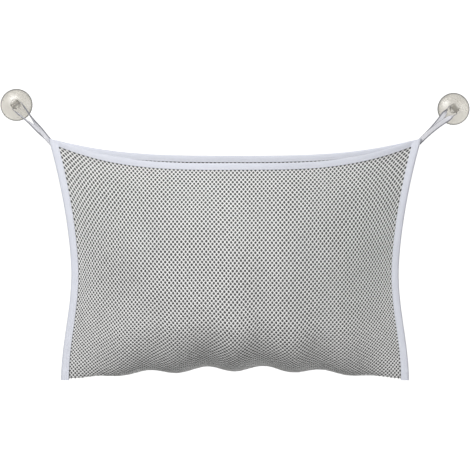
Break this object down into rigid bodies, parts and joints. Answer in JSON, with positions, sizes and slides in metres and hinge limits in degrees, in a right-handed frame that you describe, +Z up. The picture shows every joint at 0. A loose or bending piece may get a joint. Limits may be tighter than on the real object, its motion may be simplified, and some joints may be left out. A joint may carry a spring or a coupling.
{
  "type": "bath toy organizer",
  "caption": "Wall-hung net bag for bath toys, with taped mouth and sides and a tape loop at each top corner that holds a clear suction cup.",
  "frame": {"origin": "in the plane of the wall, midway between the axes of the two suction cups", "axes": "+X to the right as seen from the room, +Y into the wall, +Z up"},
  "size_m": [0.586, 0.0987, 0.3636],
  "materials": {
    "net": "matte",
    "tape": "matte",
    "strap": "matte",
    "clear_pvc": "gloss"
  },
  "bodies": {
    "bag": {"front_net": "net", "back_net": "net", "front_hem": "tape", "back_hem": "tape", "left_side_tape": "tape", "right_side_tape": "tape", "left_strap_tail": "strap", "right_strap_tail": "strap"},
    "left_strap": {"left_strap_loop": "strap"},
    "right_strap": {"right_strap_loop": "strap"},
    "left_cup": {"left_suction_cup": "clear_pvc"},
    "right_cup": {"right_suction_cup": "clear_pvc"}
  },
  "joints": [
    {"name": "left_strap_fold", "type": "hinge", "parent": "bag", "child": "left_strap", "pos_m": [-0.23471, -0.0012, -0.03906], "axis": [0.7354, 0, 0.6776], "range_deg": [-90, 90]},
    {"name": "right_strap_fold", "type": "hinge", "parent": "bag", "child": "right_strap", "pos_m": [0.23488, -0.0012, -0.03923], "axis": [0.6938, 0, -0.7202], "range_deg": [-90, 90]},
    {"name": "left_cup_tilt", "type": "hinge", "parent": "left_strap", "child": "left_cup", "pos_m": [-0.273, -0.013, 0.0025], "axis": [0.7354, 0, 0.6776], "range_deg": [-12, 135]},
    {"name": "right_cup_tilt", "type": "hinge", "parent": "right_strap", "child": "right_cup", "pos_m": [0.273, -0.013, -0.0025], "axis": [0.6938, 0, -0.7202], "range_deg": [-12, 135]}
  ]
}
